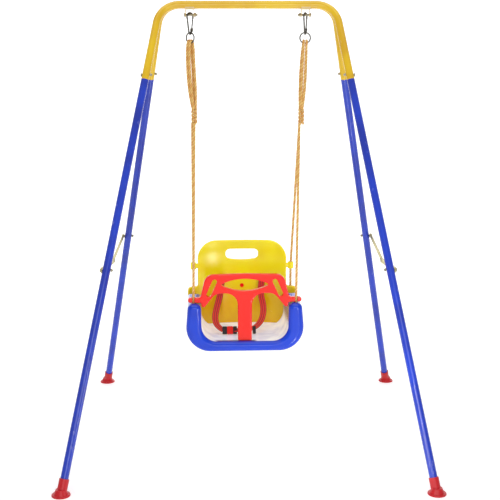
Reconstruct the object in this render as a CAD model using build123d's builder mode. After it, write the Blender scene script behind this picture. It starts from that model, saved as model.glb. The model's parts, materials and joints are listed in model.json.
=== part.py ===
from build123d import *

import os
from math import asin, cos, degrees, hypot, pi, radians, sin, sqrt, tan

# Folding garden swing for a toddler: two bent-tube frames that lean on each other as an A,
# and a bucket seat that hangs on ropes between them.
# Millimetres. +Z is up, -Y is the front. The origin is on the floor below the middle of the frame.

# ------------------------------------------------------------------ driving sizes: frame
foot_spacing_x = 1270.0  # between the left and right feet
foot_spacing_y = 1214.0  # between the front and rear feet
beam_height = 1641.0  # axis of the two top tubes above the floor
beam_corner_x = 639.0  # where the leg axes would meet the beam axis, left to right

tube_radius = 14.0
beam_gap = 2 * tube_radius + 6  # between the axes of the front and rear top tubes
tube_wall = 1.2
bend_radius = 84.0  # of the top tube's axis
top_section = 290.0  # yellow part of a leg, along its axis from beam level
pivot_drop = 994.0  # brace pivots, along the leg from beam level
pivot_to_joint = 28.0  # the two leg tubes meet this far below a brace pivot
joint_to_bolt = 19.0  # a leg's top bolt sits this far above its joint
tube_lift = 15.0  # end of the leg tube above the floor, along the leg

spigot_length = 48.0  # reduced end of a leg tube inside the tube above
spigot_slack = 0.15  # radial
spigot_wall = 1.1
swage_length = 8.0

bolt_radius = 3.0
bolt_slack = 0.2  # radial, in the tubes
bolt_head_radius = 6.5
bolt_head_height = 3.6
nut_radius = 5.8
nut_height = 4.8
thread_end = 2.5  # thread that stands out past a nut

# ------------------------------------------------------------------ feet
flange_radius = tube_radius + 18
flange_height = 6.0
foot_cone_height = 17.0
socket_radius = tube_radius + 3.2
socket_length = 56.0
socket_slack = 0.1
recess_radius = flange_radius - 7
recess_depth = 2.5

# ------------------------------------------------------------------ folding braces
knee_drop = 35.0  # knee of the brace below the line between its pivots
link_width = 20.0
link_thickness = 2.5
link_gap = 0.5  # between a brace link and what it lies against
pivot_slack = 0.05  # radial running clearance on a pin
rivet_head_radius = 7.5
rivet_head_height = 2.6
rivet_radius = 4.0

# ------------------------------------------------------------------ hangers
hanger_x = 212.0  # each hanger from the middle
hanger_drop = tube_radius + 22  # hanger bolt below the beam axis
hanger_inside = 29.0  # between the bracket's cheeks
hanger_cheek = 2.0
hanger_web = 3.0
hanger_reach = 29.0  # half the bracket's depth
hanger_lug_radius = 10.0
hanger_bolt_radius = 4.0
hanger_head_radius = 7.5
hanger_head_height = 5.0
hanger_nut_height = 6.5
collar_radius = tube_radius + 2.6
saddle_rise = 7.0

hook_wire = 3.0  # radius
hook_height = 76.5  # between the wire centres at top and bottom
hook_top_radius = 15.0
hook_foot_radius = 6.5
hook_nose = 4.0
hinge_above_foot = 13.0
gate_radius = 2.4
gate_eye_radius = 3.2
gate_eye_half = 2.4
ear_inside = 2.65
ear_outside = 4.2
gate_pin_radius = 1.0
hook_gap = 0.3  # wire to bolt and wire to ring
hook_turn = {"left": 48.0, "right": 65.0}  # degrees about Z

ring_radius = 19.25
ring_wire = 2.5
ring_turn = {"left": -40.0, "right": 0.0}

# ------------------------------------------------------------------ ropes
rope_radius = 5.0
knot_x = 200.0
knot_drop = 406.0  # centre of the gathering knot below the beam axis
knot_half_height = 33.0
knot_half_width = 2.5 * rope_radius
stopper_radius = 2.2 * rope_radius
rope_sunk = 8.0  # end of a rope inside its knot
edge_radius = 12 * rope_radius  # where a rope turns into the hole that it runs in

# ------------------------------------------------------------------ seat
seat_bottom = 364.0  # underside of the seat above the floor
seat_shift = -17.0  # the seat hangs a little to the left
seat_turn = 2.4  # and a little turned, degrees about Z
seat_half_width = 229.0
seat_front = -150.0
seat_back = 170.0
seat_pan = 38.0  # height of the front bar and the pan
arm_height = 183.5
arm_top_outer = seat_half_width - 15.3
arm_top_inner = arm_top_outer - 48.7
arm_foot_inner = arm_top_inner - 3
arm_gap = 5.0  # between the rear end of an arm and the backrest's wing
outer_corner = 92.0
inner_corner = 60.0
arm_round = 21.0
arm_rear_round = 70.0
arm_heel_round = 12.0
front_round = 18.0
cavity_inset = 8.0
rope_x = arm_top_outer - 20.7  # rope holes from the seat's middle
front_rope_y = -118.0
rope_hole_radius = rope_radius + 1.5
sleeve_radius = rope_hole_radius + 4.5
pocket_radius = stopper_radius + 2.5
pocket_top = seat_bottom + 66
pocket_knot_z = pocket_top - stopper_radius - 3
ledge_knot_gap = 0.3

back_bulge_y = 150.0  # middle of the backrest panel, at the seat's middle
back_radius = 568.0
back_thickness = 20.0
back_half_width = rope_x - 17
back_top = seat_bottom + 375
back_corner = 72.0
wing_half_width = seat_half_width - 13
wing_top = seat_bottom + 194
wing_round = 14.0
back_edge_round = 5.0
grip_half_width = 64.5
grip_top = back_top - 35.5
grip_shoulder = grip_top - 35.5
grip_bottom = grip_top - 43.5
grip_round = 16.5
eyelet_z = back_top - 97
eyelet_radius = rope_radius + 6
eyelet_height = 26.0
bridge_depth = 12.0  # between the panel and an eyelet
bridge_height = 18.0
strap_slot_x = 80.0
strap_slot_z = seat_bottom + 236
strap_width = 25.0
strap_thickness = 1.6
slot_height = 6.0
slot_slack = 8.0  # along the slot

anchor_bar_radius = 3.0
anchor_bar_length = 38.0
buckle_y = -38.0
buckle_z = seat_bottom + 54.5
buckle_tilt = 30.0  # degrees back from upright
buckle_width = 30.0
tongue_thickness = 7.0
socket_thickness = 10.0
adjuster_thickness = 6.0
buckle_corner = 3.0
tongue_start = -83.0  # across from the seat's middle
tongue_end = -65.0
socket_end = -42.0
lock_end = -27.0
adjuster_start = 34.0
adjuster_end = 46.0
prong_length = 14.0
prong_width = 20.0
prong_thickness = 3.2
prong_slack = 0.3
stud_z = seat_bottom + 192
stud_radius = 3.0
stud_head_radius = 8.0
stud_head_height = 3.0

guard_y = front_rope_y + 2
guard_half_depth = 12.0
guard_edge_round = 4.5
guard_hole_round = 2.0
guard_hole_radius = rope_radius + 2.4
guard_hole_length = 30.0
guard_mouth = 1.8 * rope_radius  # slot at the front, through which a rope is pressed into its hole
guard_seat_gap = 0.4
tab_half_width = 18.0
tab_half_depth = 4.5
tab_depth = 9.0
tab_slack = 2.0
stem_foot = 26.0  # half the width of the guard's stem at the seat
stem_foot_round = 4.0
# Corners of half the guard's face: across from the middle, height above the arms, rounding.
guard_corners = [
    (stem_foot + 1, 37.0, 45.0),
    (rope_x - 83, 37.0, 42.0),
    (rope_x - 32, -27.5, 8.0),
    (rope_x - 28.5, 2.5, 7.0),
    (rope_x + 20, 2.5, 8.0),
    (rope_x + 20, 20.5, 8.0),
    (rope_x - 26, 20.5, 12.0),
    (rope_x - 47, 108.5, 38.0),
]
guard_crown = 111.5  # top of the guard at its middle, above the arms
lens_half_width = 93.0
lens_middle = 70.5  # its points, above the arms
lens_top = 92.5
lens_bottom = 46.0
lens_round = 5.0
guard_slot_x = rope_x - 69
guard_slot_rise = 57.5
guard_slot_length = 71.0
guard_slot_width = 18.0
guard_slot_turn = 66.0  # degrees

# ------------------------------------------------------------------ frame geometry
SIDES = {"left": -1, "right": 1}
ENDS = {"front": -1, "rear": 1}

os.makedirs("parts", exist_ok=True)


def write(piece, name):
    """Label a finished piece and write it to its own file."""
    piece.part.label = name
    export_step(piece.part, f"parts/{name}.step")


def round_corners(sketch, radius, *places):
    """Round the corners of a sketch that are nearest to these places."""
    for place in places:
        fillet(sketch.vertices().sort_by_distance(Vector(*place))[0], radius)


def both(x, y):
    """A place and its mirror image."""
    return (-x, y), (x, y)


def beam_y(end):
    return ENDS[end] * beam_gap / 2


def leg_top(side, end):
    """Corner where the leg's axis meets the beam's axis."""
    return Vector(SIDES[side] * beam_corner_x / 2, beam_y(end), beam_height)


def leg_foot(side, end):
    return Vector(SIDES[side] * foot_spacing_x / 2, ENDS[end] * foot_spacing_y / 2, 0)


def leg_point(side, end, distance):
    """Point on a leg's axis, by its distance from beam level."""
    top = leg_top(side, end)
    return top + (leg_foot(side, end) - top).normalized() * distance


leg_length = (leg_foot("left", "front") - leg_top("left", "front")).length
mid_joint = pivot_drop + pivot_to_joint
top_bolt = top_section - joint_to_bolt
slope = (leg_foot("left", "front") - leg_top("left", "front")).normalized()
splay = abs(slope.X) / hypot(slope.Y, slope.Z)  # how fast a leg leaves the upright, in X


def reach(radius):
    """How far along X from a leg's axis a flat disc of this radius clears the sloping tube."""
    return tube_radius / hypot(slope.Y, slope.Z) + splay * radius


across = (0, 90, 0)  # turns a cylinder's axis from Z to X


def cross_hole(point, radius):
    """Drill a tube along X."""
    with Locations(point):
        Cylinder(radius, 4 * tube_radius, rotation=across, mode=Mode.SUBTRACT)


def top_tube(end):
    """The yellow tube: the beam and the upper end of both its legs, in one bend."""
    corners = [leg_point("left", end, top_section), leg_top("left", end)]
    corners += [leg_top("right", end), leg_point("right", end, top_section)]
    with BuildPart() as tube:
        with BuildLine() as route:
            FilletPolyline(*corners, radius=bend_radius)
        with BuildSketch(Plane(origin=corners[0], z_dir=corners[1] - corners[0])):
            Circle(tube_radius)
            Circle(tube_radius - tube_wall, mode=Mode.SUBTRACT)
        sweep(path=route.line)
        for side in SIDES:
            cross_hole(leg_point(side, end, top_bolt), bolt_radius + bolt_slack)
    return tube


def leg_tube(side, end, start, stop, bolts):
    """A blue tube with a reduced upper end that plugs into the tube above it."""
    top = leg_point(side, end, start)
    along = (leg_point(side, end, stop) - top).normalized()
    radial = along.cross(Vector(0, 1, 0)).normalized()
    length = stop - start
    bore = tube_radius - tube_wall
    spigot = bore - spigot_slack
    with BuildPart() as tube:
        with BuildSketch(Plane(origin=top, x_dir=radial, z_dir=radial.cross(along))):
            with BuildLine():
                Polyline(
                    (bore, length),
                    (tube_radius, length),
                    (tube_radius, 0),
                    (spigot, 0),
                    (spigot, -spigot_length),
                    (spigot - spigot_wall, -spigot_length),
                    (spigot - spigot_wall, 0),
                    (bore, swage_length),
                    close=True,
                )
            make_face()
        revolve(axis=Axis(top, along))
        for distance in bolts:
            cross_hole(leg_point(side, end, distance), bolt_radius + bolt_slack)
    return tube


def foot(side, end):
    """Moulded foot: a socket for the leg on a round flange with a hollow sole."""
    centre = leg_foot(side, end)
    up = (leg_top(side, end) - centre).normalized()
    with BuildPart() as shoe:
        with Locations(centre + Vector(0, 0, flange_height / 2)):
            Cylinder(flange_radius, flange_height)
        fillet(shoe.edges().group_by(Axis.Z)[-1], flange_height * 0.6)
        with Locations(centre + Vector(0, 0, flange_height + foot_cone_height / 2)):
            Cone(flange_radius * 0.8, socket_radius, foot_cone_height)
        with BuildSketch(Plane(origin=centre, z_dir=up)):
            Circle(socket_radius)
        extrude(amount=socket_length)
        split(bisect_by=Plane.XY, keep=Keep.TOP)
        with BuildSketch(Plane(origin=centre + up * tube_lift, z_dir=up)):
            Circle(tube_radius + socket_slack)
        extrude(amount=socket_length, mode=Mode.SUBTRACT)
        with Locations(centre + Vector(0, 0, recess_depth / 2)):
            Cone(recess_radius, recess_radius * 0.8, recess_depth, mode=Mode.SUBTRACT)
    return shoe


def x_bar(point, side, start, stop, radius):
    """A round bar along X, between two distances outward from a point."""
    with Locations(point + Vector(SIDES[side] * (start + stop) / 2, 0, 0)):
        Cylinder(radius, stop - start, rotation=across)


def x_nut(point, side, start, stop, radius):
    """A hexagon along X, between two distances outward from a point."""
    centre = point + Vector(SIDES[side] * start, 0, 0)
    plane = Plane(origin=centre, x_dir=(0, 1, 0), z_dir=(SIDES[side], 0, 0))
    with BuildSketch(plane) as hexagon:
        RegularPolygon(radius, 6)
    extrude(hexagon.sketch, amount=stop - start)


def leg_bolts(end, distance, outside):
    """A pan-head bolt through each leg, its head outside at this distance from the axis."""
    with BuildPart() as bolts:
        for side in SIDES:
            point = leg_point(side, end, distance)
            inner = -reach(nut_radius) - nut_height - thread_end
            x_bar(point, side, inner, outside, bolt_radius)
            x_bar(point, side, outside, outside + bolt_head_height, bolt_head_radius)
    return bolts


def leg_nuts(end):
    with BuildPart() as nuts:
        for side in SIDES:
            for distance in (top_bolt, pivot_drop):
                point = leg_point(side, end, distance)
                seat_at = -reach(nut_radius)
                x_nut(point, side, seat_at - nut_height, seat_at, nut_radius)
                with Locations(point):
                    Cylinder(bolt_radius, 6 * tube_radius, rotation=across, mode=Mode.SUBTRACT)
    return nuts


# Distances outward from a leg's axis to the layers of the folding brace.
front_link_inside = reach(link_width / 2) + link_gap
front_link_outside = front_link_inside + link_thickness
rear_link_inside = front_link_outside + link_gap
rear_link_outside = rear_link_inside + link_thickness
link_layers = {
    "front": (front_link_inside, front_link_outside),
    "rear": (rear_link_inside, rear_link_outside),
}

for end in ENDS:
    write(top_tube(end), f"{end}_top_tube")
    write(leg_bolts(end, top_bolt, reach(bolt_head_radius)), f"{end}_joint_bolts")
    write(leg_bolts(end, pivot_drop, link_layers[end][1] + link_gap), f"{end}_pivot_bolts")
    write(leg_nuts(end), f"{end}_leg_nuts")
    for side in SIDES:
        upper = leg_tube(side, end, top_section, mid_joint, [top_bolt, pivot_drop])
        write(upper, f"{end}_{side}_upper_leg")
        lower = leg_tube(side, end, mid_joint, leg_length - tube_lift, [pivot_drop])
        write(lower, f"{end}_{side}_lower_leg")
        write(foot(side, end), f"{end}_{side}_foot")

# Bushes that fill the space between the rear legs and the outer links.
with BuildPart() as brace_bushes:
    for side in SIDES:
        pivot = leg_point(side, "rear", pivot_drop)
        inner = reach(bolt_head_radius)
        x_bar(pivot, side, inner, rear_link_inside - link_gap / 2, bolt_head_radius)
        with Locations(pivot):
            Cylinder(bolt_radius, 6 * tube_radius, rotation=across, mode=Mode.SUBTRACT)
write(brace_bushes, "brace_bushes")

# ------------------------------------------------------------------ folding braces
knee_z = leg_point("left", "front", pivot_drop).Z - knee_drop


def knee_point(side):
    """Middle pin of a brace, level in X with its two end pivots."""
    return Vector(leg_point(side, "front", pivot_drop).X, 0, knee_z)


def brace_link(side, end):
    """One flat link, from its leg to the knee."""
    pivot = leg_point(side, end, pivot_drop)
    knee = knee_point(side)
    inside, outside = link_layers[end]
    start = pivot + Vector(SIDES[side] * inside, 0, 0)
    length = (knee - pivot).length
    with BuildPart() as link:
        with BuildSketch(Plane(origin=start, x_dir=knee - pivot, z_dir=(SIDES[side], 0, 0))):
            with Locations((length / 2, 0)):
                SlotCenterToCenter(length, link_width)
            Circle(bolt_radius + pivot_slack, mode=Mode.SUBTRACT)
            with Locations((length, 0)):
                Circle(rivet_radius, mode=Mode.SUBTRACT)
        extrude(amount=outside - inside)
        fillet(link.edges().filter_by(GeomType.LINE).filter_by(Axis.X, reverse=True), 0.6)
    return link


def knee_rivets(end):
    """Halves of the knee rivets, each closed in its own link: the links part when folding."""
    inside, outside = link_layers[end]
    face, cap = (outside, rivet_head_height) if end == "rear" else (inside, -rivet_head_height)
    with BuildPart() as rivets:
        for side in SIDES:
            knee = knee_point(side)
            x_bar(knee, side, inside, outside, rivet_radius)
            x_bar(knee, side, min(face, face + cap), max(face, face + cap), rivet_head_radius)
            rim_x = knee.X + SIDES[side] * (face + cap)
            rims = rivets.edges().filter_by(lambda edge: abs(edge.center().X - rim_x) < 0.01)
            fillet(rims, rivet_head_height * 0.7)
    return rivets


for end in ENDS:
    for side in SIDES:
        write(brace_link(side, end), f"{side}_{end}_brace")
    write(knee_rivets(end), f"{end}_knee_rivets")

# ------------------------------------------------------------------ hangers
hanger_z = beam_height - hanger_drop
web_top = beam_height - tube_radius
cheek_outside = hanger_inside / 2 + hanger_cheek


def hanger_bracket(side):
    """Channel welded below the front beam, with a collar in which the rear beam turns."""
    centre_x = SIDES[side] * hanger_x
    cheek_plane = Plane(origin=(centre_x - cheek_outside, 0, 0), x_dir=(0, 1, 0), z_dir=(1, 0, 0))
    with BuildPart() as bracket:
        with BuildSketch(cheek_plane):
            with BuildLine():
                CenterArc((0, hanger_z), hanger_lug_radius, 0, 360)
                Polyline(
                    (-hanger_reach, web_top - hanger_web),
                    (-hanger_reach, web_top),
                    (hanger_reach, web_top),
                    (hanger_reach, web_top - hanger_web),
                )
            make_hull()
        extrude(amount=2 * cheek_outside)
        gap_height = web_top - hanger_web - (hanger_z - 2 * hanger_lug_radius)
        with Locations((centre_x, 0, web_top - hanger_web - gap_height / 2)):
            Box(hanger_inside, 4 * hanger_reach, gap_height, mode=Mode.SUBTRACT)
        saddle_y = beam_y("front")
        with Locations((centre_x, saddle_y, web_top - hanger_web / 2 + saddle_rise / 2)):
            Box(2 * cheek_outside, 1.6 * tube_radius, hanger_web + saddle_rise)
        with Locations((centre_x, saddle_y, beam_height)):
            Cylinder(tube_radius, 4 * cheek_outside, rotation=across, mode=Mode.SUBTRACT)
        with Locations((centre_x, beam_y("rear"), beam_height)):
            Cylinder(collar_radius, 2 * cheek_outside, rotation=across)
        with Locations((centre_x, beam_y("rear"), web_top - hanger_web / 2 + 1)):
            Box(2 * cheek_outside, tube_radius, hanger_web + 2)
        with Locations((centre_x, beam_y("rear"), beam_height)):
            Cylinder(
                tube_radius + pivot_slack,
                4 * cheek_outside,
                rotation=across,
                mode=Mode.SUBTRACT,
            )
        with Locations((centre_x, 0, hanger_z)):
            Cylinder(hanger_bolt_radius, 4 * cheek_outside, rotation=across, mode=Mode.SUBTRACT)
    return bracket


def hanger_point(side):
    return Vector(SIDES[side] * hanger_x, 0, hanger_z)


# Bolts across the brackets, their heads outward, and their nuts.
with BuildPart() as hanger_bolts:
    for side in SIDES:
        point = hanger_point(side)
        inner = -cheek_outside - hanger_nut_height - 2 * thread_end
        x_bar(point, side, inner, cheek_outside, hanger_bolt_radius)
        x_nut(point, side, cheek_outside, cheek_outside + hanger_head_height, hanger_head_radius)
write(hanger_bolts, "hanger_bolts")

with BuildPart() as hanger_nuts:
    for side in SIDES:
        point = hanger_point(side)
        x_nut(point, side, -cheek_outside - hanger_nut_height, -cheek_outside, hanger_head_radius)
        with Locations(point):
            Cylinder(hanger_bolt_radius, 4 * cheek_outside, rotation=across, mode=Mode.SUBTRACT)
write(hanger_nuts, "hanger_nuts")

# The snap hook in its own plane: x to one side, y up, seen from its front.
hook_top_z = hanger_z + hanger_bolt_radius + hook_gap + hook_wire
hook_foot_z = hook_top_z - hook_height
top_centre_z = hook_top_z - hook_top_radius
foot_centre_z = hook_foot_z + hook_foot_radius
lean = asin((hook_top_radius - hook_foot_radius) / (top_centre_z - foot_centre_z))


def side_point(centre_z, radius):
    """Where the hook's straight side meets one of its two bows."""
    return Vector(radius * cos(lean), centre_z - radius * sin(lean))


bow_side = side_point(top_centre_z, hook_top_radius)
foot_side = side_point(foot_centre_z, hook_foot_radius)
side_dir = (bow_side - foot_side).normalized()
nose = bow_side - side_dir * hook_nose
hinge = foot_side + side_dir * hinge_above_foot
body_end = hinge - side_dir * (gate_eye_radius + 1.0)


def mirrored(point):
    return Vector(-point.X, point.Y)


def turned_plane(side, turn):
    """Upright plane through a hanger, turned about Z."""
    direction = Vector(cos(radians(turn)), sin(radians(turn)), 0)
    origin = (SIDES[side] * hanger_x, 0, 0)
    return Plane(origin=origin, x_dir=direction, z_dir=direction.cross(Vector(0, 0, 1)))


def snap_hook(side):
    """Pear-shaped wire hook, open at the gate, with two ears for the gate's pin."""
    plane = turned_plane(side, hook_turn[side])
    normal = plane.z_dir
    foot = [foot_side, Vector(0, hook_foot_z), mirrored(foot_side)]
    bow = [mirrored(bow_side), Vector(0, hook_top_z), bow_side]
    foot = [plane.from_local_coords(point) for point in foot]
    bow = [plane.from_local_coords(point) for point in bow]
    start = plane.from_local_coords(body_end)
    with BuildPart() as hook:
        with BuildLine() as wire:
            Line(start, foot[0])
            ThreePointArc(*foot)
            Line(foot[2], bow[0])
            ThreePointArc(*bow)
            Line(bow[2], plane.from_local_coords(nose))
        with BuildSketch(Plane(origin=start, x_dir=normal, z_dir=foot[0] - start)):
            Circle(hook_wire)
        sweep(path=wire.line)
        ear_length = (hinge - body_end).length + hook_wire
        for offset in (ear_inside, -ear_outside):
            with BuildSketch(plane.offset(offset)):
                with Locations(Location((*tuple(hinge)[:2], 0), (0, 0, -90 - degrees(lean)))):
                    SlotCenterPoint((ear_length / 2, 0), (ear_length, 0), 2 * gate_eye_radius)
            extrude(amount=ear_outside - ear_inside)
        with BuildSketch(plane.offset(-2 * ear_outside)):
            with Locations(hinge):
                Circle(gate_pin_radius)
        extrude(amount=4 * ear_outside, mode=Mode.SUBTRACT)
    return hook


def hook_gate(side):
    """Straight gate, turning on its pin and closing on the hook's nose."""
    plane = turned_plane(side, hook_turn[side])
    start = plane.from_local_coords(hinge)
    stop = plane.from_local_coords(nose)
    with BuildPart() as gate:
        with BuildSketch(Plane(origin=start, z_dir=stop - start)):
            Circle(gate_radius)
        extrude(amount=(stop - start).length - 2 * hook_gap)
        with BuildSketch(plane.offset(-gate_eye_half)):
            with Locations(hinge):
                Circle(gate_eye_radius)
        extrude(amount=2 * gate_eye_half)
        with BuildSketch(plane.offset(-2 * gate_eye_half)):
            with Locations(hinge):
                Circle(gate_pin_radius + pivot_slack)
        extrude(amount=4 * gate_eye_half, mode=Mode.SUBTRACT)
    return gate


ring_z = hook_foot_z + hook_wire + hook_gap + ring_wire - ring_radius


def hanging_ring(side):
    """Welded steel ring in the foot of the snap hook."""
    plane = turned_plane(side, ring_turn[side])
    with BuildPart() as ring:
        with BuildLine(plane) as loop:
            CenterArc((0, ring_z), ring_radius, 0, 360)
        start = plane.from_local_coords((ring_radius, ring_z))
        with BuildSketch(Plane(origin=start, x_dir=plane.z_dir, z_dir=(0, 0, 1))):
            Circle(ring_wire)
        sweep(path=loop.line)
    return ring


for side in SIDES:
    write(hanger_bracket(side), f"{side}_hanger_bracket")
    write(snap_hook(side), f"{side}_snap_hook")
    write(hook_gate(side), f"{side}_hook_gate")
    write(hanging_ring(side), f"{side}_ring")

with BuildPart() as gate_pins:
    for side in SIDES:
        with BuildSketch(turned_plane(side, hook_turn[side]).offset(-ear_outside)):
            with Locations(hinge):
                Circle(gate_pin_radius)
        extrude(amount=2 * ear_outside)
write(gate_pins, "gate_pins")

# ------------------------------------------------------------------ seat planes
seat = Plane(
    origin=(seat_shift, 0, 0),
    x_dir=(cos(radians(seat_turn)), sin(radians(seat_turn)), 0),
    z_dir=(0, 0, 1),
)
seat_face = Plane(origin=seat.origin, x_dir=seat.x_dir, z_dir=-seat.y_dir)  # x right, y up
seat_side = Plane(origin=seat.origin, x_dir=seat.y_dir, z_dir=seat.x_dir)  # x back, y up

pan_top = seat_bottom + seat_pan
arm_top = seat_bottom + arm_height


def back_y(x):
    """Middle of the backrest's panel, which curves forward at its sides."""
    return back_bulge_y - back_radius + sqrt(back_radius**2 - x**2)


rear_rope_y = back_y(rope_x)
arm_end = back_y(wing_half_width) - back_thickness / 2 - arm_gap


def seat_point(x, y, z):
    return seat.from_local_coords((x, y, z))


def seat_bar(x, y, low, high, radius, mode=Mode.ADD):
    """Upright round bar or hole, at a place in the seat's own directions."""
    with BuildSketch(seat.offset(low)) as section:
        with Locations((x, y)):
            Circle(radius)
    extrude(section.sketch, amount=high - low, mode=mode)


# ------------------------------------------------------------------ seat base
def seat_blank(inset):
    """U-shaped trough, cut back by its side view, with all its faces moved in by an inset."""
    with BuildPart() as blank:
        with BuildSketch(seat_face.offset(-seat_front - inset)) as trough:
            with BuildLine():
                Polyline(
                    (-seat_half_width, seat_bottom),
                    (seat_half_width, seat_bottom),
                    (arm_top_outer, arm_top),
                    (arm_top_inner, arm_top),
                    (arm_foot_inner, pan_top),
                    (-arm_foot_inner, pan_top),
                    (-arm_top_inner, arm_top),
                    (-arm_top_outer, arm_top),
                    close=True,
                )
            make_face()
            round_corners(trough, arm_round, *both(arm_top_outer, arm_top))
            round_corners(trough, arm_round, *both(arm_top_inner, arm_top))
            round_corners(trough, outer_corner, *both(seat_half_width, seat_bottom))
            round_corners(trough, inner_corner, *both(arm_foot_inner, pan_top))
            if inset:
                offset(amount=-inset, mode=Mode.REPLACE)
        extrude(amount=-(seat_back - seat_front - 2 * inset))
        with BuildSketch(seat_side.offset(-2 * seat_half_width)) as profile:
            with BuildLine():
                Polyline(
                    (2 * seat_front, seat_bottom - seat_pan),
                    (2 * seat_back, seat_bottom - seat_pan),
                    (2 * seat_back, pan_top),
                    (arm_end, pan_top),
                    (arm_end, arm_top),
                    (2 * seat_front, arm_top),
                    close=True,
                )
            make_face()
            round_corners(profile, arm_rear_round, (arm_end, arm_top))
            round_corners(profile, arm_heel_round, (arm_end, pan_top))
            if inset:
                offset(amount=-inset, mode=Mode.REPLACE)
        extrude(amount=4 * seat_half_width, mode=Mode.INTERSECT)
    return blank


cavity = seat_blank(cavity_inset)
with BuildPart() as seat_cavity:
    add(cavity.part)
    for side in SIDES.values():
        seat_bar(side * rope_x, front_rope_y, seat_bottom, arm_top, sleeve_radius, Mode.SUBTRACT)
        seat_bar(
            side * rope_x,
            front_rope_y,
            seat_bottom - 1,
            pocket_top + cavity_inset / 2,
            pocket_radius + cavity_inset / 2,
            Mode.SUBTRACT,
        )
        seat_bar(side * rope_x, rear_rope_y, seat_bottom, arm_top, sleeve_radius, Mode.SUBTRACT)
    with BuildSketch(seat.offset(seat_bottom)):
        with Locations((0, guard_y)):
            tab_block = 2 * (tab_slack + cavity_inset / 2)
            Rectangle(2 * tab_half_width + tab_block, 2 * tab_half_depth + tab_block)
    extrude(amount=seat_pan, mode=Mode.SUBTRACT)

base_blank = seat_blank(0)
with BuildPart() as seat_base:
    add(base_blank.part)
    front_face = seat_base.faces().sort_by(Axis.Y)[0]
    fillet(front_face.edges(), front_round)
    add(seat_cavity.part, mode=Mode.SUBTRACT)
    for side in SIDES.values():
        seat_bar(
            side * rope_x, front_rope_y, 0, arm_top + 1, rope_hole_radius, Mode.SUBTRACT
        )
        seat_bar(side * rope_x, front_rope_y, 0, pocket_top, pocket_radius, Mode.SUBTRACT)
        seat_bar(side * rope_x, rear_rope_y, 0, arm_top, rope_hole_radius, Mode.SUBTRACT)
    with BuildSketch(seat.offset(pan_top)):
        with Locations((0, guard_y)):
            Rectangle(2 * (tab_half_width + tab_slack), 2 * (tab_half_depth + tab_slack))
    extrude(amount=-tab_depth - tab_slack, mode=Mode.SUBTRACT)
write(seat_base, "seat_base")

# ------------------------------------------------------------------ backrest
with BuildPart() as backrest:
    with BuildSketch(seat_face) as outline:
        with BuildLine():
            Polyline(
                (-wing_half_width, pan_top),
                (wing_half_width, pan_top),
                (wing_half_width, wing_top),
                (back_half_width, wing_top),
                (back_half_width, back_top),
                (-back_half_width, back_top),
                (-back_half_width, wing_top),
                (-wing_half_width, wing_top),
                close=True,
            )
        make_face()
        round_corners(outline, back_corner, *both(back_half_width, back_top))
        round_corners(outline, wing_round, *both(wing_half_width, pan_top))
        round_corners(outline, wing_round, *both(wing_half_width, wing_top))
        round_corners(outline, wing_round / 2, *both(back_half_width, wing_top))
        with BuildLine():
            grip = Polyline(
                (-grip_half_width, grip_shoulder),
                (-grip_half_width, grip_top),
                (grip_half_width, grip_top),
                (grip_half_width, grip_shoulder),
            )
            ThreePointArc(grip @ 1, (0, grip_bottom), grip @ 0)
        make_face(mode=Mode.SUBTRACT)
        round_corners(outline, grip_round, *both(grip_half_width, grip_top))
        round_corners(outline, grip_round, *both(grip_half_width, grip_shoulder))
        with Locations((-strap_slot_x, strap_slot_z), (strap_slot_x, strap_slot_z)):
            SlotOverall(strap_width + slot_slack, slot_height, mode=Mode.SUBTRACT)
        with Locations((0, stud_z)):
            Circle(stud_radius, mode=Mode.SUBTRACT)
    extrude(amount=-2 * back_bulge_y)
    with BuildSketch(seat.offset(pan_top - 1)):
        with Locations((0, back_bulge_y - back_radius)):
            Circle(back_radius + back_thickness / 2)
            Circle(back_radius - back_thickness / 2, mode=Mode.SUBTRACT)
    extrude(amount=back_top - pan_top + 2, mode=Mode.INTERSECT)
    shells = backrest.faces().filter_by(GeomType.CYLINDER).sort_by(SortBy.AREA)[-2:]
    fillet(shells.edges(), back_edge_round)
    for side in SIDES.values():
        low = eyelet_z - eyelet_height / 2
        seat_bar(side * rope_x, rear_rope_y, low, low + eyelet_height, eyelet_radius)
        start = back_half_width - back_edge_round
        with BuildSketch(seat_side.offset(side * start)):
            with Locations((rear_rope_y, eyelet_z)):
                RectangleRounded(bridge_depth, bridge_height, bridge_depth / 3)
        extrude(amount=side * (rope_x - start))
        seat_bar(side * rope_x, rear_rope_y, pan_top, back_top, rope_hole_radius, Mode.SUBTRACT)
write(backrest, "backrest")

# ------------------------------------------------------------------ ropes
knot_z = beam_height - knot_drop
knot_foot = knot_z - knot_half_height

# Where each rope leaves the foot of its knot, from the knot's middle: across and back.
exit_y = rope_radius + 0.2
rope_exits = {
    ("left", "front"): (0.0, -exit_y),
    ("left", "rear"): (-8.0, exit_y),
    ("right", "front"): (-7.0, -exit_y),
    ("right", "rear"): (-6.0, exit_y),
}
# Upper strands between the ring and the knot: places across and back from the ring's
# middle, at two heights above the knot's middle and at the knot.
strand_heights = (195.0, 75.0, 28.0)
strands = {
    ("left", "front"): [
        ((-13.5, -1.0), (-5.0, -1.0), (7.0, -2.0)),
        ((6.5, 8.0), (12.0, 7.5), (13.0, 6.0)),
    ],
    ("left", "rear"): [
        ((-4.5, -6.5), (4.0, -7.0), (11.0, -7.0)),
        ((13.5, -0.5), (20.0, 0.0), (17.0, 0.0)),
    ],
    ("right", "front"): [
        ((-8.5, -5.0), (-13.0, -5.0), (-13.0, -4.0)),
        ((-15.0, 4.5), (-19.0, 4.5), (-17.0, 3.0)),
    ],
    ("right", "rear"): [
        ((2.0, -5.5), (-2.5, -5.5), (-9.0, -4.0)),
        ((5.5, 5.0), (0.0, 5.0), (-8.0, 3.0)),
    ],
}


def knot_point(side, dx=0.0, dy=0.0, dz=0.0):
    return Vector(SIDES[side] * knot_x + dx, dy, knot_z + dz)


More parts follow.
